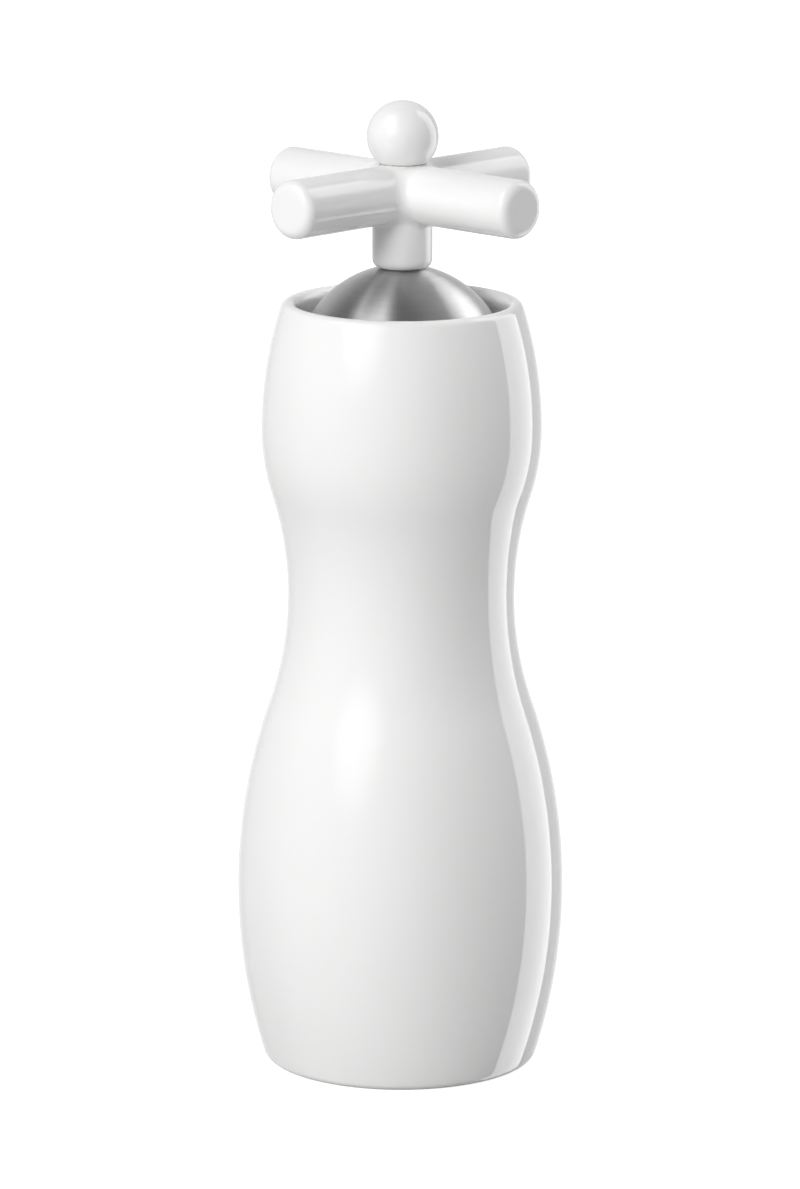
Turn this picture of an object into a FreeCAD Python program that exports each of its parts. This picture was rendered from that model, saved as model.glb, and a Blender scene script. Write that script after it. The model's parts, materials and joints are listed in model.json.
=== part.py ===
import FreeCAD, Part
import math
import os
from FreeCAD import Vector

# Pepper mill: porcelain body, steel dome, cross handle and ball nut over a ceramic burr set.
# Millimetres, +Z up, origin at the middle of the foot, arms along X and Y.

# Porcelain body: radii and heights where the outline is widest or narrowest
belly_radius = 33.65
belly_height = 36.4
waist_radius = 23.27
waist_height = 97.95
waist_arc = 69.6
shoulder_radius = 28.65
shoulder_height = 132.45
rim_radius = 24.71
rim_height = 157.73
wall = 3.3
foot_round = 2.05
foot_recess_radius = 22.9
foot_recess_depth = 6.0
floor_thickness = 4.0
floor_round = 3.0
base_hole_radius = 20.0

# Clearances: between turning pieces, between seated pieces, and for pieces that drop in
running_gap = 0.08
seat_gap = 0.05
slip_gap = 0.25

# Housing of the burrs, in the hole of the floor
housing_wall = 3.1
housing_flange_thickness = 2.2
housing_shoulder_thickness = 1.5
housing_shoulder_reach = 1.4
housing_bead = 0.4
housing_bead_drop = 2.2
gasket_lip_thickness = 0.8
gasket_neck_thickness = 1.35
gasket_bead_reach = 1.0
gasket_bead_height = 2.0

# Burrs: inlet above, narrowest throat, outlet below
outer_burr_height = 14.0
throat_drop = 6.0
inlet_radius = 13.6
throat_radius = 10.6
outlet_radius = 13.2
burr_gap = 0.6
outer_burr_keys = 3
key_width = 2.4
key_depth = 0.9
outer_tooth_count = 20
inner_tooth_count = 18
coarse_tooth_count = 6
tooth_width = 1.7
tooth_depth = 0.8
coarse_tooth_depth = 1.6
tooth_slant = 18.0
tooth_overrun = 1.3
inner_burr_rise = 1.5
inner_burr_height = 15.5
inner_burr_top_radius = 5.6
inner_burr_recess_radius = 6.6
inner_burr_recess_depth = 3.7

# Shaft: square bar with turned corners and a threaded top end
shaft_across = 4.4
shaft_corner_radius = 2.8
thread_radius = 1.98
thread_depth = 0.38
thread_pitch = 0.7
thread_length = 10.5
thread_crest = 0.1
thread_flank = 0.24
shaft_top_below_insert_roof = 1.0

# Fasteners below the burrs
burr_screw_radius = 1.25
burr_screw_head_radius = 2.4
burr_screw_head_height = 1.8
burr_screw_head_round = 0.6
burr_screw_length = 12.0
burr_washer_radius = 5.0
burr_washer_thickness = 0.8
retainer_thickness = 1.2
retainer_radius = 21.5
retainer_opening_radius = 12.9
retainer_bar_width = 6.0
retainer_bar_lap = 1.0
retainer_screw_count = 4
retainer_screw_turn = 45.0
retainer_screw_radius = 0.95
retainer_screw_head_radius = 1.75
retainer_screw_head_height = 1.2
retainer_screw_head_round = 0.4
retainer_screw_depth = 7.0
slot_width = 0.7
slot_depth = 0.6

# Bridge over the burrs, with the washer and the spring under it
spring_wire = 0.9
spring_radius = 4.6
spring_turns = 4
spring_height = 7.0
thrust_washer_radius = 5.6
thrust_washer_thickness = 1.2
bridge_ring_thickness = 2.0
bridge_ring_width = 3.4
bridge_skirt_depth = 3.7
bridge_skirt_thickness = 1.0
bridge_arm_count = 3
bridge_arm_width = 4.0
bridge_boss_radius = 6.5
bridge_boss_height = 4.8
bush_radius = 4.2
bush_flange_radius = 5.2
bush_flange_thickness = 1.0

# Neck collar that carries the head
neck_seat_height = 149.0
neck_ring_height = 9.5
neck_ring_radius = 21.0
neck_bore_radius = 16.0
neck_gasket_drop = 1.8
neck_gasket_height = 7.0
neck_rib_count = 3
neck_rib_depth = 0.7

# Dome and the core under it
dome_radius = 21.9
dome_apex_height = 166.3
dome_sheet = 0.8
core_flange_thickness = 1.8
core_collar_wall = 2.0
core_collar_depth = 8.0
core_boss_radius = 6.2
core_lip_height = 0.9
core_lip_width = 1.4
core_rib_count = 4
core_rib_turn = 45.0
core_rib_thickness = 1.8

# Cross handle
stem_radius = 6.13
stem_bottom_height = 165.88
stem_round = 1.8
arm_radius = 5.95
arm_reach = 33.17
arm_height = 181.26
arm_round = 2.0
arm_blend = 2.0
hub_boss_radius = 5.0
hub_boss_rise = 0.1
insert_radius = 3.6
insert_hex_across = 8.0
insert_hex_rise = 2.0
insert_hex_height = 10.0
insert_tail = 4.6
core_nut_across = 11.0
core_nut_height = 3.0

# Ball nut
ball_radius = 7.32
ball_flat_depth = 5.29
ball_seam = 0.08
ball_insert_radius = 3.4
ball_insert_height = 9.6
ball_insert_groove = 0.4
ball_insert_roof = 1.0

# Heights worked out from the sizes above
floor_top = foot_recess_depth + floor_thickness
housing_flange_top = foot_recess_depth - gasket_lip_thickness
burr_plane = housing_flange_top - housing_flange_thickness
outer_burr_top = burr_plane + outer_burr_height
throat_height = outer_burr_top - throat_drop
retainer_bottom = burr_plane - retainer_thickness
inner_burr_bottom = burr_plane + inner_burr_rise
inner_burr_top = inner_burr_bottom + inner_burr_height
hub_floor_height = inner_burr_bottom + inner_burr_recess_depth
thrust_washer_bottom = inner_burr_top + spring_height
bridge_bottom = thrust_washer_bottom + thrust_washer_thickness + seat_gap
bridge_boss_top = bridge_bottom + bridge_boss_height
core_bottom = neck_seat_height + running_gap
core_flange_top = core_bottom + core_flange_thickness
dome_centre_height = dome_apex_height - dome_radius
hub_top = arm_height + arm_radius + hub_boss_rise
ball_flat_height = hub_top + ball_seam
ball_height = ball_flat_height + ball_flat_depth
ball_insert_top = ball_flat_height + ball_insert_height
ball_bore_top = ball_insert_top - ball_insert_roof
shaft_top = ball_bore_top - shaft_top_below_insert_roof
thread_bottom = shaft_top - thread_length
insert_hex_bottom = stem_bottom_height + insert_hex_rise
insert_hex_top = insert_hex_bottom + insert_hex_height
core_nut_top = core_bottom
insert_bottom = core_bottom - insert_tail

# Radii worked out from the sizes above
gasket_bore_radius = base_hole_radius - seat_gap - gasket_neck_thickness
housing_radius = gasket_bore_radius - seat_gap
housing_bore_radius = housing_radius - housing_wall
outer_burr_radius = housing_bore_radius - seat_gap
housing_flange_radius = foot_recess_radius - slip_gap
bridge_skirt_bore = housing_radius + seat_gap
bridge_radius = bridge_skirt_bore + bridge_skirt_thickness
shaft_bore_half = shaft_across / 2 + running_gap
shaft_bore_radius = shaft_corner_radius + running_gap
dome_edge_radius = math.sqrt(dome_radius ** 2 - (core_flange_top - dome_centre_height) ** 2)
dome_inner_radius = dome_radius - dome_sheet
dome_land_inner = stem_bottom_height - dome_sheet
core_collar_radius = neck_bore_radius - slip_gap
core_collar_bore = core_collar_radius - core_collar_wall
retainer_screw_circle = housing_bore_radius + housing_wall / 2

up = Vector(0, 0, 1)
origin = Vector(0, 0, 0)


def polar(centre, radius, angle):
    return centre[0] + radius * math.cos(angle), centre[1] + radius * math.sin(angle)


def point(rz):
    return Vector(rz[0], 0, rz[1])


def line(start, end):
    return Part.makeLine(point(start), point(end))


def arc(centre, radius, start, end):
    ends = [point(polar(centre, radius, angle)) for angle in (start, (start + end) / 2, end)]
    return Part.Arc(*ends).toShape()


def lathe(edges):
    return Part.Face(Part.Wire(edges)).revolve(origin, up, 360)


def lathe_outline(corners):
    return lathe([line(a, b) for a, b in zip(corners, corners[1:] + corners[:1])])


def ring(inner, outer, bottom, top):
    solid = rod(outer, bottom, top)
    return solid.cut(rod(inner, bottom, top)) if inner else solid


def rod(radius, bottom, top):
    return Part.makeCylinder(radius, top - bottom, Vector(0, 0, bottom))


def block(length, width, bottom, top):
    return Part.makeBox(length, width, top - bottom, Vector(-length / 2, -width / 2, bottom))


def prism(sides, across, bottom, top):
    corner = across / 2 / math.cos(math.pi / sides)
    turns = [2 * math.pi * (k + 0.5) / sides for k in range(sides + 1)]
    corners = [Vector(corner * math.cos(a), corner * math.sin(a), bottom) for a in turns]
    return Part.Face(Part.makePolygon(corners)).extrude(Vector(0, 0, top - bottom))


def around(shape, count, first=0.0):
    copies = [shape.copy() for k in range(count)]
    for k, copy in enumerate(copies):
        copy.rotate(origin, up, first + 360 * k / count)
    return copies


def square_bar(half, corner_radius, bottom, top):
    return block(2 * half, 2 * half, bottom, top).common(rod(corner_radius, bottom, top))


def round_edges(solid, radius, height):
    edges = [e for e in solid.Edges if isinstance(e.Curve, Part.Circle)]
    return solid.makeFillet(radius, [e for e in edges if abs(e.Curve.Center.z - height) < 1e-6])


# Outline of the porcelain: bulging and hollow arcs that meet at shared tangents
def bulge_arc(bulge_radius, bulge_height):
    reach = waist_arc + waist_radius - bulge_radius
    rise = waist_height - bulge_height
    return (rise ** 2 + reach ** 2 - waist_arc ** 2) / (2 * (bulge_radius - waist_radius))


belly_arc = bulge_arc(belly_radius, belly_height)
lower_arc = bulge_arc(shoulder_radius, shoulder_height)
neck_drop = shoulder_radius - rim_radius
neck_arc = ((rim_height - shoulder_height) ** 2 + neck_drop ** 2) / (2 * neck_drop)
belly_centre = (belly_radius - belly_arc, belly_height)
waist_centre = (waist_radius + waist_arc, waist_height)
lower_centre = (shoulder_radius - lower_arc, shoulder_height)
neck_centre = (shoulder_radius - neck_arc, shoulder_height)
belly_end = math.atan2(waist_height - belly_height, waist_centre[0] - belly_centre[0])
lower_start = math.atan2(waist_height - shoulder_height, waist_centre[0] - lower_centre[0])
rim_angle = math.asin((rim_height - shoulder_height) / neck_arc)


def corner_round(inset, radius, bottom):
    reach = belly_arc - inset - radius
    rise = bottom + radius - belly_height
    centre = (belly_centre[0] + math.sqrt(reach ** 2 - rise ** 2), bottom + radius)
    return centre, math.atan2(rise, centre[0] - belly_centre[0])


def wall_edges(inset, start):
    return [
        arc(belly_centre, belly_arc - inset, start, belly_end),
        arc(waist_centre, waist_arc + inset, math.pi + belly_end, math.pi + lower_start),
        arc(lower_centre, lower_arc - inset, lower_start, 0),
        arc(neck_centre, neck_arc - inset, 0, rim_angle),
    ]


def neck_radius(height, inset):
    return neck_centre[0] + math.sqrt((neck_arc - inset) ** 2 - (height - neck_centre[1]) ** 2)


def body_shell():
    foot_centre, foot_angle = corner_round(0, foot_round, 0)
    floor_centre, floor_angle = corner_round(wall, floor_round, floor_top)
    lip_centre = polar(neck_centre, neck_arc - wall / 2, rim_angle)
    recess = (foot_recess_radius, foot_recess_depth)
    hole = (base_hole_radius, foot_recess_depth)
    edges = [line((foot_recess_radius, 0), (foot_centre[0], 0))]
    edges += [arc(foot_centre, foot_round, -math.pi / 2, foot_angle)]
    edges += wall_edges(0, foot_angle)
    edges += [arc(lip_centre, wall / 2, rim_angle, rim_angle + math.pi)]
    edges += wall_edges(wall, floor_angle)[::-1]
    edges += [arc(floor_centre, floor_round, floor_angle, -math.pi / 2)]
    edges += [line((floor_centre[0], floor_top), (base_hole_radius, floor_top))]
    edges += [line((base_hole_radius, floor_top), hole)]
    edges += [line(hole, recess)]
    edges += [line(recess, (foot_recess_radius, 0))]
    return lathe(edges)


def base_gasket():
    lip_radius = housing_flange_radius - slip_gap
    neck = base_hole_radius - seat_gap
    bead = base_hole_radius + gasket_bead_reach
    return lathe_outline([
        (gasket_bore_radius, housing_flange_top),
        (lip_radius, housing_flange_top),
        (lip_radius, foot_recess_depth),
        (neck, foot_recess_depth),
        (neck, floor_top),
        (bead, floor_top),
        (gasket_bore_radius, floor_top + gasket_bead_height),
    ])


def at_retainer_screws(shape):
    shape.translate(Vector(retainer_screw_circle, 0, 0))
    return around(shape, retainer_screw_count, retainer_screw_turn)


def grinder_housing():
    shoulder = housing_bore_radius - housing_shoulder_reach
    shoulder_bottom = outer_burr_top + seat_gap
    shoulder_top = shoulder_bottom + housing_shoulder_thickness
    bead_height = bridge_bottom - housing_bead_drop
    solid = lathe_outline([
        (housing_bore_radius, burr_plane),
        (housing_flange_radius, burr_plane),
        (housing_flange_radius, housing_flange_top),
        (housing_radius, housing_flange_top),
        (housing_radius, bead_height - housing_bead),
        (housing_radius + housing_bead, bead_height),
        (housing_radius, bead_height + housing_bead),
        (housing_radius, bridge_bottom),
        (housing_bore_radius, bridge_bottom),
        (housing_bore_radius, shoulder_top + housing_shoulder_reach),
        (shoulder, shoulder_top),
        (shoulder, shoulder_bottom),
        (housing_bore_radius, shoulder_bottom),
    ])
    key = block(2 * key_depth, key_width, burr_plane, shoulder_bottom)
    key.translate(Vector(housing_bore_radius, 0, 0))
    solid = solid.fuse(around(key, outer_burr_keys))
    hole = rod(retainer_screw_radius + seat_gap, burr_plane, burr_plane + retainer_screw_depth)
    return solid.cut(at_retainer_screws(hole))


def tooth_groove(low, high, slant, depth):
    # wedge up a cone's side from low to high, slanted about the radius; a positive depth bites outwards
    run = Vector(high[0] - low[0], 0, high[1] - low[1])
    length = run.Length * tooth_overrun
    flank = Part.makePolygon([
        Vector(depth, 0, 0),
        Vector(-depth, tooth_width, 0),
        Vector(-depth, -tooth_width, 0),
        Vector(depth, 0, 0),
    ])
    wedge = Part.Face(flank).extrude(Vector(0, 0, length))
    wedge.translate(Vector(0, 0, -length / 2))
    wedge.rotate(origin, Vector(1, 0, 0), slant)
    wedge.rotate(origin, Vector(0, 1, 0), math.degrees(math.atan2(run.x, run.z)))
    wedge.translate(Vector((low[0] + high[0]) / 2, 0, (low[1] + high[1]) / 2))
    return wedge


def outer_burr():
    solid = lathe_outline([
        (outlet_radius, burr_plane),
        (outer_burr_radius, burr_plane),
        (outer_burr_radius, outer_burr_top),
        (inlet_radius, outer_burr_top),
        (throat_radius, throat_height),
    ])
    low, high = (outlet_radius, burr_plane), (throat_radius, throat_height)
    groove = tooth_groove(low, high, tooth_slant, tooth_depth)
    groove.rotate(origin, up, 180 / outer_tooth_count)
    notch = block(2 * key_depth, key_width + 2 * seat_gap, burr_plane, outer_burr_top)
    notch.translate(Vector(outer_burr_radius - seat_gap, 0, 0))
    return solid.cut(around(groove, outer_tooth_count)).cut(around(notch, outer_burr_keys))


def inner_burr():
    def cone_radius(height):
        slope = (outlet_radius - throat_radius) / (throat_height - burr_plane)
        return throat_radius - burr_gap + slope * (throat_height - height)

    low = (cone_radius(inner_burr_bottom), inner_burr_bottom)
    high = (cone_radius(throat_height), throat_height)
    crown = (inner_burr_top_radius, inner_burr_top)
    solid = lathe_outline([
        (0, hub_floor_height),
        (inner_burr_recess_radius, hub_floor_height),
        (inner_burr_recess_radius, inner_burr_bottom),
        low,
        high,
        crown,
        (0, inner_burr_top),
    ])
    fine = tooth_groove(low, high, -tooth_slant, -tooth_depth)
    coarse = tooth_groove(high, crown, -tooth_slant, -coarse_tooth_depth)
    solid = solid.cut(around(fine, inner_tooth_count))
    solid = solid.cut(around(coarse, coarse_tooth_count))
    return solid.cut(square_bar(shaft_bore_half, shaft_bore_radius, hub_floor_height, inner_burr_top))


def pan_screw(radius, length, head_radius, head_height, head_round, seat):
    # head below its seat, shank upwards, one slot across the head
    bottom = seat - head_height
    solid = round_edges(rod(head_radius, bottom, seat), head_round, bottom)
    solid = solid.fuse(rod(radius, seat, seat + length))
    return solid.cut(block(2 * head_radius, slot_width, bottom, bottom + slot_depth))


def burr_washer():
    return ring(burr_screw_radius + seat_gap, burr_washer_radius, hub_floor_height - burr_washer_thickness,
                hub_floor_height)


def burr_screw():
    seat = hub_floor_height - burr_washer_thickness
    length = burr_washer_thickness + burr_screw_length - seat_gap
    return pan_screw(burr_screw_radius, length, burr_screw_head_radius, burr_screw_head_height,
                     burr_screw_head_round, seat)


def retainer_plate():
    plate = ring(retainer_opening_radius, retainer_radius, retainer_bottom, burr_plane)
    bar_length = 2 * (retainer_opening_radius + retainer_bar_lap)
    plate = plate.fuse(block(bar_length, retainer_bar_width, retainer_bottom, burr_plane))
    hole = rod(retainer_screw_radius + seat_gap, retainer_bottom, burr_plane)
    return plate.cut(at_retainer_screws(hole)).removeSplitter()


def retainer_screws():
    length = retainer_thickness + retainer_screw_depth - seat_gap
    screw = pan_screw(retainer_screw_radius, length, retainer_screw_head_radius, retainer_screw_head_height,
                      retainer_screw_head_round, retainer_bottom)
    return Part.makeCompound(at_retainer_screws(screw))


def shaft_bridge():
    bead_height = bridge_bottom - housing_bead_drop
    groove = housing_bead
    ring_bore = bridge_radius - bridge_ring_width - bridge_skirt_thickness
    ring_top = bridge_bottom + bridge_ring_thickness
    solid = lathe_outline([
        (ring_bore, bridge_bottom),
        (bridge_skirt_bore, bridge_bottom),
        (bridge_skirt_bore, bead_height + groove),
        (bridge_skirt_bore + groove, bead_height),
        (bridge_skirt_bore, bead_height - groove),
        (bridge_skirt_bore, bridge_bottom - bridge_skirt_depth),
        (bridge_radius, bridge_bottom - bridge_skirt_depth),
        (bridge_radius, ring_top),
        (ring_bore, ring_top),
    ])
    arm = Part.makeBox(ring_bore + bridge_ring_width / 2, bridge_arm_width,
                       bridge_boss_height - bush_flange_thickness,
                       Vector(0, -bridge_arm_width / 2, bridge_bottom))
    tapered = rod(ring_bore + bridge_ring_width / 2, bridge_bottom, ring_top)
    rise = bridge_boss_height - bridge_ring_thickness
    tapered = tapered.fuse(Part.makeCone(ring_bore, bridge_boss_radius, rise, Vector(0, 0, ring_top)))
    arms = [a.common(tapered) for a in around(arm, bridge_arm_count)]
    solid = solid.fuse(arms + [rod(bridge_boss_radius, bridge_bottom, bridge_boss_top)])
    return solid.cut(rod(bush_radius + seat_gap, bridge_bottom, bridge_boss_top)).removeSplitter()


def bridge_bush():
    sleeve = ring(shaft_bore_radius, bush_radius, bridge_bottom, bridge_boss_top)
    flange_top = bridge_boss_top + bush_flange_thickness
    flange = ring(shaft_bore_radius, bush_flange_radius, bridge_boss_top, flange_top)
    return sleeve.fuse(flange).removeSplitter()


def thrust_washer():
    top = thrust_washer_bottom + thrust_washer_thickness
    solid = rod(thrust_washer_radius, thrust_washer_bottom, top)
    return solid.cut(square_bar(shaft_bore_half, shaft_bore_radius, thrust_washer_bottom, top))


def tangent_arc(start, end, direction):
    # arc from start to end that leaves start along direction
    chord = end - start
    along = Vector(chord).normalize()
    side = direction - along * direction.dot(along)
    half_turn = math.atan2(side.Length, direction.dot(along))
    middle = start + chord * 0.5 + side.normalize() * (chord.Length / 2 * math.tan(half_turn / 2))
    return Part.Arc(start, middle, end).toShape()


def burr_spring():
    wire = spring_wire / 2
    bottom = inner_burr_top + seat_gap + wire
    climb = spring_height - 2 * seat_gap - spring_wire
    pitch = climb / spring_turns
    steps = 4 * spring_turns

    def place(k):
        angle = k * math.pi / 2
        height = bottom + climb * k / steps
        return Vector(spring_radius * math.cos(angle), spring_radius * math.sin(angle), height)

    def heading(k):
        angle = k * math.pi / 2
        rate = pitch / (2 * math.pi)
        return Vector(-spring_radius * math.sin(angle), spring_radius * math.cos(angle), rate).normalize()

    edges = []
    for k in range(steps):
        start, end = place(k), place(k + 1)
        leave, arrive = heading(k), heading(k + 1)
        chord = end - start
        lean = chord.dot(leave + arrive)
        spread = 2 * (1 - leave.dot(arrive))
        reach = (math.sqrt(lean ** 2 + spread * chord.dot(chord)) - lean) / spread
        middle = (start + leave * reach + end - arrive * reach) * 0.5
        edges.append(tangent_arc(start, middle, leave))
        turn_in = (end - arrive * reach - middle).normalize()
        edges.append(tangent_arc(middle, end, turn_in))
    path = Part.Wire(edges)
    section = Part.Wire(Part.Circle(place(0), heading(0), wire).toShape())
    slope = math.atan(pitch / (2 * math.pi * spring_radius))
    print("spring gap", round(pitch * math.cos(slope) - spring_wire, 3))
    return path.makePipeShell([section], True, False)


def drive_shaft():
    bar = square_bar(shaft_across / 2, shaft_corner_radius, hub_floor_height, thread_bottom)
    core = thread_radius - thread_depth
    solid = bar.fuse(rod(core, thread_bottom, shaft_top))
    root = core - thread_depth / 2
    section = Part.makePolygon([
        Vector(root, 0, -thread_flank - thread_crest / 2),
        Vector(thread_radius, 0, -thread_crest / 2),
        Vector(thread_radius, 0, thread_crest / 2),
        Vector(root, 0, thread_flank + thread_crest / 2),
        Vector(root, 0, -thread_flank - thread_crest / 2),
    ])
    turns = math.floor(thread_length / thread_pitch) - 1
    helix = Part.makeHelix(thread_pitch, turns * thread_pitch, core)
    ridge = Part.Wire(helix).makePipeShell([Part.Wire(section.Edges)], True, True)
    ridge.translate(Vector(0, 0, thread_bottom + thread_pitch / 2))
    solid = solid.fuse(ridge)
    tapped = rod(burr_screw_radius + seat_gap / 2, hub_floor_height, hub_floor_height + burr_screw_length)
    return solid.cut(tapped)


def neck_ring():
    bottom = neck_seat_height - neck_ring_height
    ledge = neck_seat_height - neck_gasket_drop
    foot = ledge - neck_gasket_height
    groove = neck_ring_radius - neck_rib_depth
    return lathe_outline([
        (neck_bore_radius, bottom),
        (neck_ring_radius, bottom),
        (neck_ring_radius, foot),
        (groove, foot),
        (groove, ledge),
        (neck_ring_radius, ledge),
        (neck_ring_radius, neck_seat_height),
        (neck_bore_radius, neck_seat_height),
    ])


def neck_gasket():
    top = neck_seat_height - neck_gasket_drop - seat_gap
    bottom = neck_seat_height - neck_gasket_drop - neck_gasket_height + seat_gap
    bore = neck_ring_radius - neck_rib_depth + seat_gap
    pitch = (top - bottom) / neck_rib_count
    corners = [(bore, bottom)]
    for k in range(neck_rib_count):
        low = bottom + k * pitch
        crest = low + pitch / 2
        corners.append((neck_radius(low, wall + seat_gap + neck_rib_depth), low))
        corners.append((neck_radius(crest, wall + seat_gap), crest))
    corners.append((neck_radius(top, wall + seat_gap + neck_rib_depth), top))
    corners.append((bore, top))
    return lathe_outline(corners)


def dome_core():
    boss_top = dome_land_inner - seat_gap
    solid = ring(0, dome_edge_radius, core_bottom, core_flange_top)
    collar_bottom = neck_seat_height - core_collar_depth
    solid = solid.fuse(ring(core_collar_bore, core_collar_radius, collar_bottom, core_flange_top))
    solid = solid.fuse(rod(core_boss_radius, core_bottom, boss_top))
    inside = dome_inner_radius - seat_gap
    cavity = Part.makeSphere(inside, Vector(0, 0, dome_centre_height))
    lip_top = core_flange_top + core_lip_height
    lip = ring(dome_edge_radius - dome_sheet - core_lip_width, dome_edge_radius, core_flange_top, lip_top)
    rise = boss_top - core_flange_top
    rib = Part.makeBox(dome_edge_radius, core_rib_thickness, rise,
                       Vector(0, -core_rib_thickness / 2, core_flange_top))
    slope = Part.makeCone(dome_edge_radius, core_boss_radius, rise, Vector(0, 0, core_flange_top))
    ribs = [r.common(slope) for r in around(rib, core_rib_count, core_rib_turn)]
    inner = [piece.common(cavity) for piece in [lip] + ribs]
    solid = solid.fuse(inner)
    keep = Part.makeBox(4 * dome_radius, 4 * dome_radius, core_flange_top,
                        Vector(-2 * dome_radius, -2 * dome_radius, 0))
    solid = solid.common(keep.fuse(cavity))
    return solid.cut(rod(insert_radius + seat_gap, core_bottom, boss_top)).removeSplitter()


def dome_cover():
    centre = (0, dome_centre_height)
    edge_rise = core_flange_top - dome_centre_height
    hole = insert_radius + seat_gap
    outer_start = math.asin(edge_rise / dome_radius)
    outer_end = math.asin((stem_bottom_height - dome_centre_height) / dome_radius)
    inner_start = math.asin(edge_rise / dome_inner_radius)
    inner_end = math.asin((dome_land_inner - dome_centre_height) / dome_inner_radius)
    outer_land = polar(centre, dome_radius, outer_end)
    inner_land = polar(centre, dome_inner_radius, inner_end)
    return lathe([
        arc(centre, dome_radius, outer_start, outer_end),
        line(outer_land, (hole, stem_bottom_height)),
        line((hole, stem_bottom_height), (hole, dome_land_inner)),
        line((hole, dome_land_inner), inner_land),
        arc(centre, dome_inner_radius, inner_end, inner_start),
        line(polar(centre, dome_inner_radius, inner_start), polar(centre, dome_radius, outer_start)),
    ])


def handle_arm(direction):
    middle = Vector(0, 0, arm_height)
    bar = Part.makeCylinder(arm_radius, 2 * arm_reach, middle - direction * arm_reach, direction)
    return bar.makeFillet(arm_round, [e for e in bar.Edges if isinstance(e.Curve, Part.Circle)])


def arm_creases(cross):
    # edges where two arms meet, whose faces both have a level axis
    creases = []
    for edge in cross.Edges:
        middle = edge.CenterOfMass
        faces = [f for f in cross.ancestorsOfType(edge, Part.Face) if isinstance(f.Surface, Part.Cylinder)]
        level = [f for f in faces if abs(f.Surface.Axis.z) < 1e-6]
        if len(level) == 2 and abs(abs(middle.x) - abs(middle.y)) < 1e-3:
            creases.append(edge)
    return creases


def cross_handle():
    stem = round_edges(rod(stem_radius, stem_bottom_height, arm_height), stem_round, stem_bottom_height)
    boss = rod(hub_boss_radius, arm_height, hub_top)
    arms = [handle_arm(Vector(1, 0, 0)), handle_arm(Vector(0, 1, 0))]
    cross = arms[0].fuse([arms[1], stem, boss]).removeSplitter()
    cross = cross.makeFillet(arm_blend, arm_creases(cross))
    cross = cross.cut(rod(insert_radius + seat_gap, stem_bottom_height, insert_hex_bottom))
    cross = cross.cut(prism(6, insert_hex_across + 2 * seat_gap, insert_hex_bottom, insert_hex_top))
    return cross.cut(rod(shaft_bore_radius, insert_hex_top, hub_top))


def stem_insert():
    solid = prism(6, insert_hex_across, insert_hex_bottom, insert_hex_top)
    solid = solid.fuse(rod(insert_radius, insert_bottom, insert_hex_bottom))
    return solid.cut(square_bar(shaft_bore_half, shaft_bore_radius, insert_bottom, insert_hex_top))


def core_nut():
    bottom = core_nut_top - core_nut_height
    tapped = rod(insert_radius + seat_gap / 2, bottom, core_nut_top)
    return prism(6, core_nut_across, bottom, core_nut_top).cut(tapped)


def ball_knob():
    ball = Part.makeSphere(ball_radius, Vector(0, 0, ball_height))
    below = block(4 * ball_radius, 4 * ball_radius, ball_height - 2 * ball_radius, ball_flat_height)
    bore = rod(ball_insert_radius + seat_gap / 2, ball_flat_height, ball_insert_top + seat_gap)
    return ball.cut(below).cut(bore)


def ball_insert():
    solid = rod(ball_insert_radius, ball_flat_height, ball_insert_top)
    grooves = []
    for k in (1, 2):
        height = ball_flat_height + ball_insert_height * k / 3
        half = ball_insert_groove
        groove = ring(ball_insert_radius - half, ball_insert_radius + half, height - half, height + half)
        grooves.append(groove)
    return solid.cut(grooves + [rod(thread_radius + running_gap, ball_flat_height, ball_bore_top)])


os.makedirs("parts", exist_ok=True)
nodes = [
    body_shell, neck_gasket, neck_ring, base_gasket, grinder_housing, outer_burr, retainer_plate,
    retainer_screws, shaft_bridge, bridge_bush, thrust_washer, burr_spring, drive_shaft, inner_burr,
    burr_washer, burr_screw, dome_cover, dome_core, cross_handle, stem_insert, core_nut, ball_knob,
    ball_insert,
]
for node in nodes:
    shape = node()
    print(node.__name__, len(shape.Solids), round(shape.Volume, 2), shape.isValid())
    shape.exportStep("parts/" + node.__name__ + ".step")
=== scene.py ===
import bpy
import bmesh
import json
import math
import numpy as np
from mathutils import Matrix, Vector


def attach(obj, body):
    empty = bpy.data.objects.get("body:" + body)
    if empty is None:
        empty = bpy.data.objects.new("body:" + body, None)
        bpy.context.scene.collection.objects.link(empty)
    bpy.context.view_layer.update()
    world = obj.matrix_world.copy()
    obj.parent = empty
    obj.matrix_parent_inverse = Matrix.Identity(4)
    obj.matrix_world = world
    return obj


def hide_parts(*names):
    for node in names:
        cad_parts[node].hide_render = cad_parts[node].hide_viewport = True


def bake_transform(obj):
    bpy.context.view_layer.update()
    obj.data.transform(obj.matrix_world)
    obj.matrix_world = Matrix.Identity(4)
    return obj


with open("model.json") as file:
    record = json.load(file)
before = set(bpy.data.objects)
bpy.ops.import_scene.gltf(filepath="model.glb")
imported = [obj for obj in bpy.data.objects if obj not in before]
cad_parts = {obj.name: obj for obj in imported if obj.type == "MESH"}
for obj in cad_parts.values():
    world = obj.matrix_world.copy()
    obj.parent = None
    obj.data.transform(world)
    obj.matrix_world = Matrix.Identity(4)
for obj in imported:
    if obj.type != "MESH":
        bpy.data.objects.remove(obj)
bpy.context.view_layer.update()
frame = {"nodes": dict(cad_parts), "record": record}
mm = 0.001
bodyOf = {node: body for body, nodes in frame["record"]["behaviour"]["bodies"].items() for node in nodes}
slotOf = {part["node"]: part["material_slot"] for part in frame["record"]["subparts"]}
print("frame loaded,", len(frame["nodes"]), "nodes")


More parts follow.
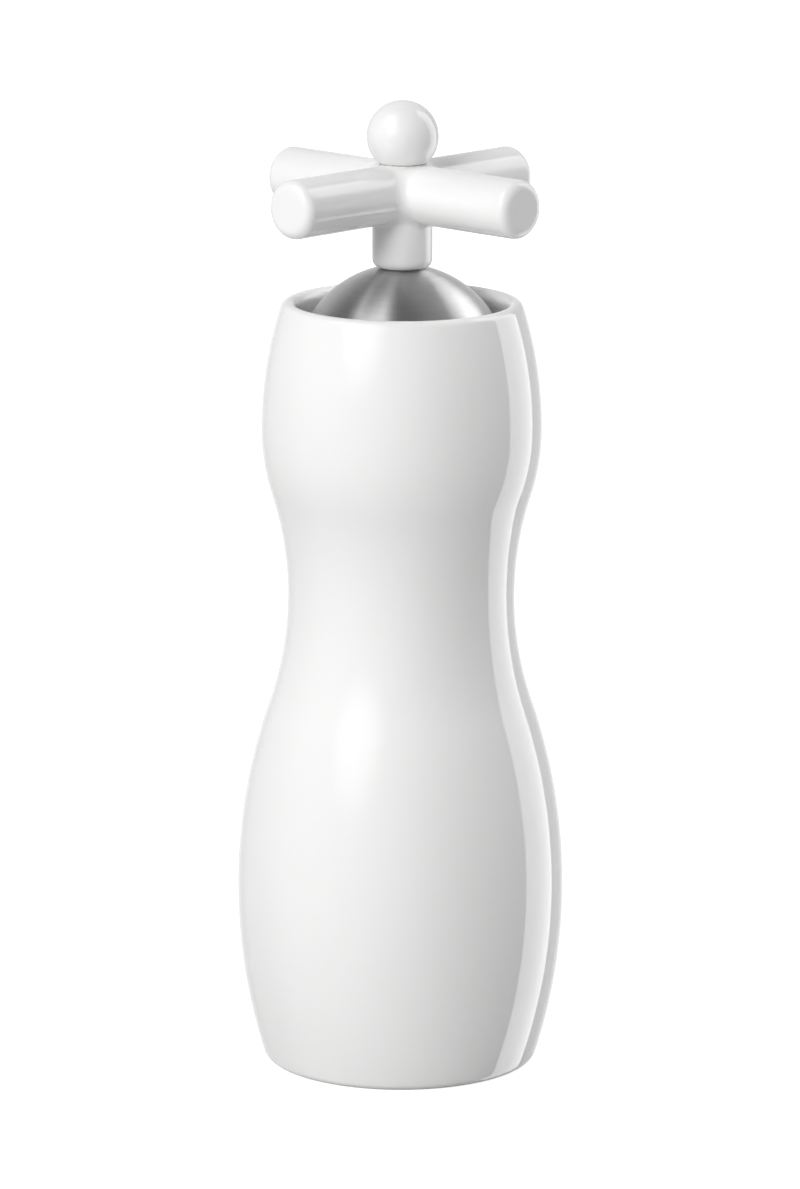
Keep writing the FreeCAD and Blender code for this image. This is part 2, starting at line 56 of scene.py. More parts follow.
# a socket that can be used in sums; out() picks another output of the same node
class Sock:
    def __init__(self, nodes, socket):
        self.nodes = nodes
        self.socket = socket

    def out(self, key):
        return Sock(self.nodes, self.socket.node.outputs[key])

    def maths(self, operation, first, second):
        return self.nodes.node("ShaderNodeMath", {"operation": operation}, {0: first, 1: second})

    def __add__(self, other):
        return self.maths("ADD", self, other)

    def __radd__(self, other):
        return self.maths("ADD", other, self)

    def __mul__(self, other):
        return self.maths("MULTIPLY", self, other)

    def __rmul__(self, other):
        return self.maths("MULTIPLY", other, self)

    def __truediv__(self, other):
        return self.maths("DIVIDE", self, other)

    def __rtruediv__(self, other):
        return self.maths("DIVIDE", other, self)

    def __pow__(self, other):
        return self.maths("POWER", self, other)


# fills one node tree: a type, its settings first, then the values or links of its sockets
class Nodes:
    def __init__(self, tree):
        self.tree = tree
        tree.nodes.clear()

    def node(self, kind, settings=None, sockets=None):
        made = self.tree.nodes.new(kind)
        for key, value in (settings or {}).items():
            setattr(made, key, value)
        for key, value in (sockets or {}).items():
            if isinstance(value, Sock):
                self.tree.links.new(value.socket, made.inputs[key])
            else:
                made.inputs[key].default_value = value
        return Sock(self, made.outputs[0]) if made.outputs else made

    def place(self):
        return self.node("ShaderNodeTexCoord").out("Object")

    def noise(self, vector, scale, detail=2.0, **more):
        return self.node("ShaderNodeTexNoise", more.pop("settings", {}),
                         {"Vector": vector, "Scale": scale, "Detail": detail, **more})

    def ramp(self, value, start, end):
        return self.node("ShaderNodeMapRange", {"interpolation_type": "SMOOTHSTEP"},
                         {"Value": value, "From Min": start, "From Max": end})

    def tint(self, factor, first, second):
        return self.node("ShaderNodeMix", {"data_type": "RGBA"}, {0: factor, 6: first, 7: second}).out(2)

    def bump(self, height, strength, distance):
        return self.node("ShaderNodeBump", {}, {"Height": height, "Strength": strength, "Distance": distance})

    def surface(self, sockets):
        shader = self.node("ShaderNodeBsdfPrincipled", {}, sockets)
        self.node("ShaderNodeOutputMaterial", {}, {"Surface": shader})


def newFinish(name):
    material = bpy.data.materials.new(name)
    material.use_nodes = True
    return material, Nodes(material.node_tree)


def grey(level):
    return (level, level, level, 1.0)


# finishes, one function each; places are Object coordinates in metres
def glazedPorcelain():
    material, n = newFinish("glazed_porcelain")
    place = n.place()
    cloud = n.noise(place, 22.0)
    height = n.node("ShaderNodeSeparateXYZ", {}, {0: place}).out("Z")
    bare = n.ramp(height, 0.0009, 0.0003)                         # unglazed ring that it was fired on
    grain = n.noise(place, 2600.0, 3.0)
    glaze = n.tint(cloud, (0.865, 0.866, 0.862, 1.0), (0.885, 0.885, 0.88, 1.0))
    biscuit = n.tint(grain, (0.74, 0.72, 0.67, 1.0), (0.82, 0.80, 0.76, 1.0))
    wave = n.noise(place, 70.0, 1.0)                              # slow ripple of the glaze
    n.surface({
        "Base Color": n.tint(bare, glaze, biscuit),
        "Roughness": 0.05 + 0.03 * cloud + bare * (0.45 + 0.2 * grain),
        "Normal": n.bump(wave + bare * grain * 0.6, strength=0.5, distance=0.00003),
        "IOR": 1.5,
    })
    return material


def polishedWhite():
    material, n = newFinish("polished_white")
    place = n.place()
    cloud = n.noise(place, 60.0)
    rubbed = n.noise(place, 900.0, 4.0)                           # fine marks of fingers and cloth
    wave = n.noise(place, 160.0, 1.0)
    n.surface({
        "Base Color": n.tint(cloud, (0.865, 0.865, 0.862, 1.0), (0.89, 0.89, 0.886, 1.0)),
        "Roughness": 0.08 + 0.05 * cloud + 0.05 * rubbed,
        "Normal": n.bump(wave, strength=0.4, distance=0.00003),
        "IOR": 1.5,
    })
    return material


# lines that run round the Z axis, broken along their length
def turnedLines(n, place, lineScale, breakScale, detail):
    axes = n.node("ShaderNodeSeparateXYZ", {}, {0: place})
    x, y, z = axes.out("X"), axes.out("Y"), axes.out("Z")
    radius = (x * x + y * y + 1e-10) ** 0.5
    around = n.node("ShaderNodeCombineXYZ", {}, {
        "X": x / radius * breakScale, "Y": y / radius * breakScale, "Z": z * lineScale})
    return n.noise(around, 1.0, detail, settings={"noise_dimensions": "4D"}, W=radius * lineScale)


def brushedDome():
    material, n = newFinish("brushed_dome")
    place = n.place()
    fine = turnedLines(n, place, lineScale=5200.0, breakScale=3.0, detail=3.0)
    broad = turnedLines(n, place, lineScale=1100.0, breakScale=1.4, detail=2.0)
    n.surface({
        "Base Color": n.tint(broad, grey(0.52), grey(0.66)),
        "Metallic": 1.0,
        "Roughness": 0.33 + 0.1 * fine + 0.06 * broad,
        "Normal": n.bump(fine + 0.5 * broad, strength=0.2, distance=0.00002),
        "Anisotropic": 0.92,
        "Anisotropic Rotation": 0.25,
    })
    return material


def drawnSteel(name, stretch, shade, rough):
    material, n = newFinish(name)
    drawn = n.node("ShaderNodeMapping", {}, {"Vector": n.place(), "Scale": stretch})
    lines = n.noise(drawn, 1.0, 4.0)
    cloud = n.noise(n.place(), 120.0)
    n.surface({
        "Base Color": n.tint(lines, grey(shade * 0.88), grey(shade * 1.1)),
        "Metallic": 1.0,
        "Roughness": rough + 0.14 * lines + 0.08 * cloud,
        "Normal": n.bump(lines, strength=0.2, distance=0.00002),
    })
    return material


def turnedMetal(name, dark, light, rough):
    material, n = newFinish(name)
    place = n.place()
    lines = turnedLines(n, place, lineScale=4200.0, breakScale=2.0, detail=3.0)
    cloud = n.noise(place, 180.0)
    n.surface({
        "Base Color": n.tint(lines * 0.6 + cloud * 0.4, dark, light),
        "Metallic": 1.0,
        "Roughness": rough + 0.16 * lines,
        "Normal": n.bump(lines, strength=0.2, distance=0.00002),
    })
    return material


def firedCeramic():
    material, n = newFinish("fired_ceramic")
    place = n.place()
    grain = n.noise(place, 3200.0, 4.0)
    cloud = n.noise(place, 140.0)
    n.surface({
        "Base Color": n.tint(cloud * 0.7 + grain * 0.3, (0.80, 0.785, 0.74, 1.0), (0.88, 0.87, 0.84, 1.0)),
        "Roughness": 0.42 + 0.2 * grain,
        "Normal": n.bump(grain, strength=0.35, distance=0.00004),
    })
    return material


def mouldedPlastic():
    material, n = newFinish("moulded_plastic")
    place = n.place()
    spark = n.noise(place, 2400.0, 3.0)                           # texture of the mould
    cloud = n.noise(place, 90.0)
    n.surface({
        "Base Color": n.tint(cloud, (0.70, 0.70, 0.69, 1.0), (0.76, 0.76, 0.75, 1.0)),
        "Roughness": 0.38 + 0.18 * spark,
        "Normal": n.bump(spark, strength=0.3, distance=0.00003),
    })
    return material


def milkySilicone():
    material, n = newFinish("milky_silicone")
    place = n.place()
    cloud = n.noise(place, 260.0, 3.0)
    dust = n.noise(place, 4000.0, 2.0)
    n.surface({
        "Base Color": n.tint(cloud, (0.60, 0.60, 0.585, 1.0), (0.68, 0.68, 0.665, 1.0)),
        "Roughness": 0.5 + 0.2 * dust,
        "Normal": n.bump(dust, strength=0.2, distance=0.00002),
    })
    return material


finishOf = {
    "porcelain": glazedPorcelain(),
    "gloss_white": polishedWhite(),
    "dome_steel": brushedDome(),
    "plain_steel": drawnSteel("drawn_steel", stretch=(2600.0, 2600.0, 60.0), shade=0.52, rough=0.24),
    "screw_steel": turnedMetal("screw_steel", dark=grey(0.42), light=grey(0.56), rough=0.26),
    "spring_steel": drawnSteel("spring_wire", stretch=(500.0, 500.0, 2400.0), shade=0.42, rough=0.3),
    "brass": turnedMetal("turned_brass", dark=(0.60, 0.42, 0.17, 1.0), light=(0.78, 0.58, 0.28, 1.0),
                         rough=0.24),
    "burr_ceramic": firedCeramic(),
    "inner_plastic": mouldedPlastic(),
    "silicone": milkySilicone(),
}
print("finishes made,", len(finishOf))


# a piece takes the place of a CAD node, with its slot and finish, on its body, or free with its placement
# baked in when a bend is given
def standFor(piece, node, bend=None):
    piece.data.materials.clear()
    piece.data.materials.append(finishOf[slotOf[node]])
    if bend:
        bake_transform(piece)
    else:
        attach(piece, bodyOf[node])
    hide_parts(node)


def newObject(name, mesh):
    piece = bpy.data.objects.new(name, mesh)
    bpy.context.scene.collection.objects.link(piece)
    return piece


# the modifiers' result as the object's own plain mesh
def settle(piece):
    bpy.context.view_layer.update()
    ready = piece.evaluated_get(bpy.context.evaluated_depsgraph_get())
    mesh = bpy.data.meshes.new_from_object(ready)
    piece.modifiers.clear()
    piece.data = mesh
    mesh.name = piece.name
    return piece


def shade(piece, edgeAngle):
    piece.data.polygons.foreach_set("use_smooth", [True] * len(piece.data.polygons))
    piece.data.set_sharp_from_angle(angle=math.radians(edgeAngle))


def newTree(name, inputs):
    tree = bpy.data.node_groups.new(name, "GeometryNodeTree")
    tree.interface.new_socket("Geometry", in_out="INPUT", socket_type="NodeSocketGeometry")
    for label, kind in inputs.items():
        tree.interface.new_socket(label, in_out="INPUT", socket_type="NodeSocket" + kind)
    tree.interface.new_socket("Geometry", in_out="OUTPUT", socket_type="NodeSocketGeometry")
    n = Nodes(tree)
    return tree, n, n.node("NodeGroupInput")


def endTree(n, given, geometry):
    real = n.node("GeometryNodeRealizeInstances", {}, {"Geometry": geometry})
    done = n.node("GeometryNodeSetMaterial", {}, {"Geometry": real, "Material": given.out("Material")})
    n.node("NodeGroupOutput", {}, {"Geometry": done})


def runTree(piece, tree, values):
    modifier = piece.modifiers.new("shape", "NODES")
    modifier.node_group = tree
    sockets = {item.name: item.identifier for item in tree.interface.items_tree if item.in_out == "INPUT"}
    for label, value in values.items():
        modifier[sockets[label]] = value
    return settle(piece)


pathRadius = 1.0
mergeReach = 1e-6


# turning on a lathe: an outline swept round a small circle on the Z axis
def turningTree():
    tree, n, given = newTree("turning", {"Segments": "Int", "Path Radius": "Float", "Material": "Material"})
    outline = n.node("GeometryNodeMeshToCurve", {}, {"Mesh": given})
    path = n.node("GeometryNodeCurvePrimitiveCircle", {}, {
        "Resolution": given.out("Segments"), "Radius": given.out("Path Radius")})
    swept = n.node("GeometryNodeCurveToMesh", {}, {"Curve": path, "Profile Curve": outline})
    closed = n.node("GeometryNodeMergeByDistance", {}, {"Geometry": swept, "Distance": mergeReach})
    endTree(n, given, closed)
    return tree


turning = turningTree()


# outline points are radius and height in millimetres, from the top outwards and down
def turnedPiece(name, outline, segments, slot, loop):
    mesh = bpy.data.meshes.new(name)
    count = len(outline)
    edges = [(k, (k + 1) % count) for k in range(count if loop else count - 1)]
    mesh.from_pydata([((r - pathRadius) * mm, -z * mm, 0.0) for r, z in outline], edges, [])
    piece = newObject(name, mesh)
    return runTree(piece, turning, {
        "Segments": segments, "Path Radius": pathRadius * mm, "Material": finishOf[slot]})


def arcRun(centre, radius, start, end, step):
    count = max(2, math.ceil(abs(end - start) * radius / step))
    return [(centre[0] + radius * math.cos(a), centre[1] + radius * math.sin(a))
            for a in np.linspace(start, end, count + 1)]


# joins runs of outline points and drops doubled ends
def joined(*runs, least=1e-4):
    points = []
    for run in runs:
        points += [p for p in run if not points or math.dist(p, points[-1]) > least]
    return points[:-1] if math.dist(points[0], points[-1]) < least else points


# porcelain body
body = dict(
    belly=(33.65, 36.4), waist=(23.27, 97.95), waistArc=69.6, shoulder=(28.65, 132.45), rim=(24.71, 157.73),
    wall=3.3, footRound=2.05, recess=(22.9, 6.0), floorTop=10.0, floorRound=3.0, hole=20.0, edge=0.35,
    step=1.1, roundStep=0.3, floorStep=0.4, edgeStep=0.15, segments=224, crease=50,
)


# arc of a bulge that meets the waist's hollow arc at a shared tangent
def bulgeArc(bulge):
    reach = body["waistArc"] + body["waist"][0] - bulge[0]
    rise = body["waist"][1] - bulge[1]
    return (rise ** 2 + reach ** 2 - body["waistArc"] ** 2) / (2 * (bulge[0] - body["waist"][0]))


def porcelainOutline():
    belly, waist, shoulder, rim = body["belly"], body["waist"], body["shoulder"], body["rim"]
    wall, step, edge, edgeStep = body["wall"], body["step"], body["edge"], body["edgeStep"]
    bellyArc, lowerArc = bulgeArc(belly), bulgeArc(shoulder)
    drop = shoulder[0] - rim[0]
    neckArc = ((rim[1] - shoulder[1]) ** 2 + drop ** 2) / (2 * drop)
    bellyAt = (belly[0] - bellyArc, belly[1])
    waistAt = (waist[0] + body["waistArc"], waist[1])
    lowerAt = (shoulder[0] - lowerArc, shoulder[1])
    neckAt = (shoulder[0] - neckArc, shoulder[1])
    bellyEnd = math.atan2(waist[1] - belly[1], waistAt[0] - bellyAt[0])
    lowerStart = math.atan2(waist[1] - shoulder[1], waistAt[0] - lowerAt[0])
    rimAngle = math.asin((rim[1] - shoulder[1]) / neckArc)

    def corner(inset, radius, bottom):
        reach = bellyArc - inset - radius
        rise = bottom + radius - belly[1]
        centre = (bellyAt[0] + math.sqrt(reach ** 2 - rise ** 2), bottom + radius)
        return centre, math.atan2(rise, centre[0] - bellyAt[0])

    def side(inset, start):
        return joined(
            arcRun(bellyAt, bellyArc - inset, start, bellyEnd, step),
            arcRun(waistAt, body["waistArc"] + inset, math.pi + bellyEnd, math.pi + lowerStart, step),
            arcRun(lowerAt, lowerArc - inset, lowerStart, 0.0, step),
            arcRun(neckAt, neckArc - inset, 0.0, rimAngle, step))

    footAt, footAngle = corner(0.0, body["footRound"], 0.0)
    floorAt, floorAngle = corner(wall, body["floorRound"], body["floorTop"])
    lipArc = neckArc - wall / 2
    lipAt = (neckAt[0] + lipArc * math.cos(rimAngle), neckAt[1] + lipArc * math.sin(rimAngle))
    recess, recessTop = body["recess"]
    hole, floorTop = body["hole"], body["floorTop"]
    inside = side(wall, floorAngle)[::-1]
    outside = side(0.0, footAngle)
    rise = joined(
        arcRun((recess + edge, edge), edge, math.pi, 1.5 * math.pi, edgeStep),
        arcRun(footAt, body["footRound"], -math.pi / 2, footAngle, body["roundStep"]),
        outside,
        arcRun(lipAt, wall / 2, rimAngle, rimAngle + math.pi, body["roundStep"]),
        inside,
        arcRun(floorAt, body["floorRound"], floorAngle, -math.pi / 2, body["floorStep"]),
        [(hole + edge, floorTop)],
        arcRun((hole + edge, floorTop - edge), edge, math.pi / 2, math.pi, edgeStep),
        arcRun((hole + edge, recessTop + edge), edge, math.pi, 1.5 * math.pi, edgeStep),
        [(recess, recessTop)])
    return rise[::-1]


porcelain = turnedPiece("porcelain_body", porcelainOutline(), body["segments"], "porcelain", True)
standFor(porcelain, "body_shell")
shade(porcelain, body["crease"])
print("porcelain body turned,", len(porcelain.data.polygons), "faces")

# steel dome over the neck
dome = dict(
    radius=21.9, apex=166.3, sheet=0.8, bottom=150.88, land=165.88, hole=3.65,
    step=0.5, segments=192, crease=30,
)


def domeOutline():
    outer, sheet, step = dome["radius"], dome["sheet"], dome["step"]
    centre = (0.0, dome["apex"] - outer)
    inner = outer - sheet
    low, top = dome["bottom"] - centre[1], dome["land"] - centre[1]
    innerTop = top - sheet
    return joined(
        [(dome["hole"], dome["land"])],
        arcRun(centre, outer, math.asin(top / outer), math.asin(low / outer), step),
        arcRun(centre, inner, math.asin(low / inner), math.asin(innerTop / inner), step),
        [(dome["hole"], dome["land"] - sheet)])


steelDome = turnedPiece("steel_dome", domeOutline(), dome["segments"], "dome_steel", True)
standFor(steelDome, "dome_cover")
shade(steelDome, dome["crease"])

# ball that screws down on the shaft
ball = dict(
    radius=7.32, height=192.68, flat=187.39, edge=0.2, bore=3.425, boreTop=197.04,
    step=0.22, edgeStep=0.08, segments=128, crease=40,
)


def ballOutline():
    centre = (0.0, ball["height"])
    drop = ball["height"] - ball["flat"]
    edge = ball["edge"]
    reach = ball["radius"] - edge
    edgeAt = (math.sqrt(reach ** 2 - (drop - edge) ** 2), ball["flat"] + edge)
    edgeAngle = -math.asin((drop - edge) / reach)
    return joined(
        [(0.0, ball["height"] + ball["radius"])],
        arcRun(centre, ball["radius"], math.pi / 2, edgeAngle, ball["step"])[1:],
        arcRun(edgeAt, edge, edgeAngle, -math.pi / 2, ball["edgeStep"]),
        [(ball["bore"], ball["flat"]), (ball["bore"], ball["boreTop"]), (0.0, ball["boreTop"])])


whiteBall = turnedPiece("ball_nut_knob", ballOutline(), ball["segments"], "gloss_white", False)
standFor(whiteBall, "ball_knob")
shade(whiteBall, ball["crease"])
print("dome and ball turned")

# cross handle: a smooth union of round bars, meshed in voxels and drawn onto its exact surface
handle = dict(
    reach=33.17, radius=5.95, end=2.0, height=181.26, blend=2.4,
    stemRadius=6.13, stemBottom=165.88, stemEnd=1.8, stemBlend=1.2,
    hubRadius=5.0, hubTop=187.31, hubEnd=0.15,
    socket=3.65, pocket=4.75, pocketBottom=167.88, pocketTop=177.93, shaftBore=2.88, cutPast=2.0,
    voxel=0.42, rounds=6, ease=0.5, draws=3, skin=0.02, facing=0.6,
    barSegments=96, boreSegments=64, crease=40,
)


def roundBar(along, across, half, radius, end):
    out = np.stack([np.abs(along) - half + end, across - radius + end])
    return np.minimum(out.max(0), 0.0) + np.hypot(*np.maximum(out, 0.0)) - end


def softUnion(first, second, blend):
    inner = np.hypot(np.maximum(blend - first, 0.0), np.maximum(blend - second, 0.0))
    return np.maximum(blend, np.minimum(first, second)) - inner


# signed distance to the handle, millimetres
def handleField(p):
    x, y, z = p[:, 0], p[:, 1], p[:, 2] - handle["height"]
    bar = (handle["reach"], handle["radius"], handle["end"])
    cross = softUnion(roundBar(x, np.hypot(y, z), *bar), roundBar(y, np.hypot(x, z), *bar), handle["blend"])
    stemHalf = (handle["height"] - handle["stemBottom"]) / 2
    across = np.hypot(x, y)
    stem = roundBar(z + stemHalf, across, stemHalf, handle["stemRadius"], handle["stemEnd"])
    hubHalf = (handle["hubTop"] - handle["height"]) / 2
    hub = roundBar(z - hubHalf, across, hubHalf, handle["hubRadius"], handle["hubEnd"])
    return np.minimum(softUnion(cross, stem, handle["stemBlend"]), hub)


def fieldSlope(p, reach=0.02):
    slope = np.stack([handleField(p + step) - handleField(p - step) for step in np.eye(3) * reach], axis=1)
    return slope / np.maximum(np.linalg.norm(slope, axis=1, keepdims=True), 1e-9)


def barMesh(name):
    bm = bmesh.new()
    middle = Vector((0, 0, handle["height"]))
    stemHalf = (handle["height"] - handle["stemBottom"]) / 2
    hubHalf = (handle["hubTop"] - handle["height"]) / 2
    level = Matrix.Translation(middle)
    bars = [
        (level @ Matrix.Rotation(math.pi / 2, 4, "X"), handle["radius"], handle["reach"]),
        (level @ Matrix.Rotation(math.pi / 2, 4, "Y"), handle["radius"], handle["reach"]),
        (Matrix.Translation(middle - Vector((0, 0, stemHalf))), handle["stemRadius"], stemHalf),
        (Matrix.Translation(middle + Vector((0, 0, hubHalf))), handle["hubRadius"], hubHalf),
    ]
    for place, radius, half in bars:
        bmesh.ops.create_cone(bm, cap_ends=True, segments=handle["barSegments"], matrix=place,
                              radius1=radius, radius2=radius, depth=2 * half)
    mesh = bpy.data.meshes.new(name)
    bm.to_mesh(mesh)
    bm.free()
    return mesh


def getPoints(mesh):
    flat = np.empty(len(mesh.vertices) * 3)
    mesh.vertices.foreach_get("co", flat)
    return flat.reshape(-1, 3)


# evens the mesh out and draws it onto the exact surface, several times
def drawOnto(mesh):
    points = getPoints(mesh)
    ends = np.empty(len(mesh.edges) * 2, int)
    mesh.edges.foreach_get("vertices", ends)
    first, second = ends.reshape(-1, 2).T
    share = np.bincount(ends, minlength=len(points))[:, None]
    for _ in range(handle["rounds"]):
        total = np.zeros_like(points)
        np.add.at(total, first, points[second])
        np.add.at(total, second, points[first])
        slope = fieldSlope(points)
        move = (total / share - points) * handle["ease"]
        points += move - slope * (move * slope).sum(1, keepdims=True)
        for _ in range(handle["draws"]):
            points -= fieldSlope(points) * handleField(points)[:, None]
    mesh.vertices.foreach_set("co", (points * mm).ravel())


def cutAway(piece, cutter):
    cut = piece.modifiers.new("cut", "BOOLEAN")
    cut.operation = "DIFFERENCE"
    cut.solver = "EXACT"
    cut.object = cutter
    settle(piece)
    bpy.data.objects.remove(cutter)
    return piece


def handlePiece():
    piece = newObject("cross_handle_bars", barMesh("cross_handle_bars"))
    voxels = piece.modifiers.new("voxels", "REMESH")
    voxels.mode = "VOXEL"
    voxels.voxel_size = handle["voxel"]
    settle(piece)
    drawOnto(piece.data)
    socket, pocket, bore = handle["socket"], handle["pocket"], handle["shaftBore"]
    low, high = handle["stemBottom"] - handle["cutPast"], handle["hubTop"] + handle["cutPast"]
    cutter = turnedPiece("handle_bore", [
        (0.0, high), (bore, high), (bore, handle["pocketTop"]), (pocket, handle["pocketTop"]),
        (pocket, handle["pocketBottom"]), (socket, handle["pocketBottom"]), (socket, low), (0.0, low),
    ], handle["boreSegments"], "gloss_white", False)
    return cutAway(piece, cutter)


# normals of the outside come from the surface itself, those of the bore from its faces
def exactNormals(mesh):
    points = getPoints(mesh) / mm
    slope = fieldSlope(points)
    onSkin = np.abs(handleField(points)) < handle["skin"]
    corner = np.empty(len(mesh.loops), int)
    mesh.loops.foreach_get("vertex_index", corner)
    sizes = np.empty(len(mesh.polygons), int)
    mesh.polygons.foreach_get("loop_total", sizes)
    flat = np.empty(len(mesh.polygons) * 3)
    mesh.polygons.foreach_get("normal", flat)
    faces = np.repeat(flat.reshape(-1, 3), sizes, axis=0)
    skin = onSkin[corner] & ((slope[corner] * faces).sum(1) > handle["facing"])
    mesh.normals_split_custom_set(np.where(skin[:, None], slope[corner], faces))


crossHandle = handlePiece()
standFor(crossHandle, "cross_handle")
shade(crossHandle, handle["crease"])
exactNormals(crossHandle.data)
print("cross handle drawn,", len(crossHandle.data.polygons), "faces")

# spring between the burr and the washer
coil = dict(
    bottom=20.5, rise=6.0, radius=4.6, turns=4.0, wire=0.45, ends=(0.1, 0.9), steps=48, sides=16, crease=50,
)


def coilTree():
    tree, n, given = newTree("coil", {
        "Bottom": "Float", "Rise": "Float", "Radius": "Float", "Turns": "Float", "Wire": "Float",
        "Steps": "Int", "Sides": "Int", "Material": "Material"})
    line = n.node("GeometryNodeCurveSpiral", {}, {
        "Resolution": given.out("Steps"), "Rotations": given.out("Turns"), "Height": given.out("Rise"),
        "Start Radius": given.out("Radius"), "End Radius": given.out("Radius")})
    section = n.node("GeometryNodeCurvePrimitiveCircle", {}, {
        "Resolution": given.out("Sides"), "Radius": given.out("Wire")})
    wire = n.node("GeometryNodeCurveToMesh", {}, {"Curve": line, "Profile Curve": section, "Fill Caps": True})
    lift = n.node("ShaderNodeCombineXYZ", {}, {"Z": given.out("Bottom")})
    endTree(n, given, n.node("GeometryNodeTransform", {}, {"Geometry": wire, "Translation": lift}))
    return tree


spring = newObject("burr_spring_coil", bpy.data.meshes.new("burr_spring_coil"))
runTree(spring, coilTree(), {
    "Bottom": coil["bottom"] * mm, "Rise": coil["rise"] * mm, "Radius": coil["radius"] * mm,
    "Turns": coil["turns"], "Wire": coil["wire"] * mm, "Steps": coil["steps"], "Sides": coil["sides"],
    "Material": finishOf["spring_steel"]})
shade(spring, coil["crease"])
coilEnds = [(0.0, 0.0, (coil["bottom"] + coil["rise"] * share) * mm) for share in coil["ends"]]
standFor(spring, "burr_spring", ["spindle", "thrust_washer"] + coilEnds)

# pan head screws under the burrs, and what both kinds share
retainerScrew = dict(
    head=1.75, rise=1.2, bulge=0.5, shank=0.95, length=8.15, seat=1.8, count=4, circle=16.95, first=45.0,
)
burrScrew = dict(head=2.4, rise=1.8, bulge=0.7, shank=1.25, length=12.7, seat=7.4)
anyScrew = dict(slot=0.7, depth=0.6, tipIn=0.25, tipDown=0.35, seatIn=0.1, step=0.08, segments=48, crease=35)


def screwPiece(name, screw):
    bottom, top = screw["seat"] - screw["rise"], screw["seat"] + screw["length"]
    head, shank, bulge = screw["head"], screw["shank"], screw["bulge"]
    outline = joined(
        [(0.0, top), (shank - anyScrew["tipIn"], top), (shank, top - anyScrew["tipDown"])],
        [(shank, screw["seat"]), (head - anyScrew["seatIn"], screw["seat"])],
        arcRun((head - bulge, bottom + bulge), bulge, 0.0, -math.pi / 2, anyScrew["step"]),
        [(0.0, bottom)])
    piece = turnedPiece(name, outline, anyScrew["segments"], "screw_steel", False)
    bm = bmesh.new()
    size = Matrix.Diagonal((4 * head * mm, anyScrew["slot"] * mm, 2 * anyScrew["depth"] * mm, 1))
    bmesh.ops.create_cube(bm, size=1.0, matrix=Matrix.Translation((0, 0, bottom * mm)) @ size)
    blade = bpy.data.meshes.new("screw_slot")
    bm.to_mesh(blade)
    bm.free()
    return cutAway(piece, newObject("screw_slot", blade))


def ringTree():
    tree, n, given = newTree("ring_of_screws", {
        "Count": "Int", "Circle": "Float", "First Turn": "Float", "Material": "Material"})
    spots = n.node("GeometryNodeMeshCircle", {}, {
        "Vertices": given.out("Count"), "Radius": given.out("Circle")})
    step = 2 * math.pi / given.out("Count")
    turn = n.node("ShaderNodeCombineXYZ", {}, {"Z": n.node("GeometryNodeInputIndex") * step})
    placed = n.node("GeometryNodeInstanceOnPoints", {}, {
        "Points": spots, "Instance": given, "Rotation": turn})
    whole = n.node("ShaderNodeCombineXYZ", {}, {"Z": given.out("First Turn")})
    endTree(n, given, n.node("GeometryNodeTransform", {}, {"Geometry": placed, "Rotation": whole}))
    return tree


screws = screwPiece("retainer_screw_set", retainerScrew)
runTree(screws, ringTree(), {
    "Count": retainerScrew["count"], "Circle": retainerScrew["circle"] * mm,
    "First Turn": math.radians(retainerScrew["first"]), "Material": finishOf["screw_steel"]})
standFor(screws, "retainer_screws")
shade(screws, anyScrew["crease"])
fixing = screwPiece("burr_fixing_screw", burrScrew)
standFor(fixing, "burr_screw")
shade(fixing, anyScrew["crease"])
print("spring and screws made")

# CAD nodes that stay take their slot's finish
for name, node in frame["nodes"].items():
    for place in node.material_slots:
        place.material = finishOf[slotOf[name]]

# studio: turns are measured from the camera's side, towards its right
studio = dict(
    turn=43.42, rise=12.6151, distance=1.329, aim=0.0978, aimRight=-0.000256, roll=0.18,
    lens=196.1, sensor=36.0,
    ambient=0.15, behind=180.0, back=0.5, backFrom=75.0, backTo=35.0, whiteFrom=28.0, whiteTo=10.0,
    top=2.8, topTurn=-62.0, topRise=52.0, front=2.0, frontTurn=-38.0, frontRise=27.0,
    lobeFrom=25.0, lobeTo=7.0,
    key=6.0, keyTurn=-31.0, keyRise=27.0, keyDistance=1.2, keySize=0.28,
    strip=2.6, stripTurn=116.5, stripDistance=1.0, stripWidth=0.63, stripHeight=3.0, stripLift=0.1,
    floorShade=0.65, floorGlow=0.82, floorSize=6.0,
)
toRight = Vector((math.cos(math.radians(studio["turn"])), math.sin(math.radians(studio["turn"])), 0.0))
toCamera = Vector((toRight.y, -toRight.x, 0.0))


def studioWay(turn, rise):
    level = toCamera * math.cos(math.radians(turn)) + toRight * math.sin(math.radians(turn))
    return level * math.cos(math.radians(rise)) + Vector((0, 0, math.sin(math.radians(rise))))


def studioCamera():
    data = bpy.data.cameras.new("photo_camera")
    data.lens = studio["lens"]
    data.sensor_width = studio["sensor"]
    camera = newObject("photo_camera", data)
    aim = Vector((0, 0, studio["aim"])) + toRight * studio["aimRight"]
    way = studioWay(0.0, studio["rise"])
    turned = way.to_track_quat("Z", "Y").to_matrix().to_4x4()
    camera.matrix_world = (Matrix.Translation(aim + way * studio["distance"]) @ turned
                           @ Matrix.Rotation(math.radians(studio["roll"]), 4, "Z"))
    bpy.context.scene.camera = camera


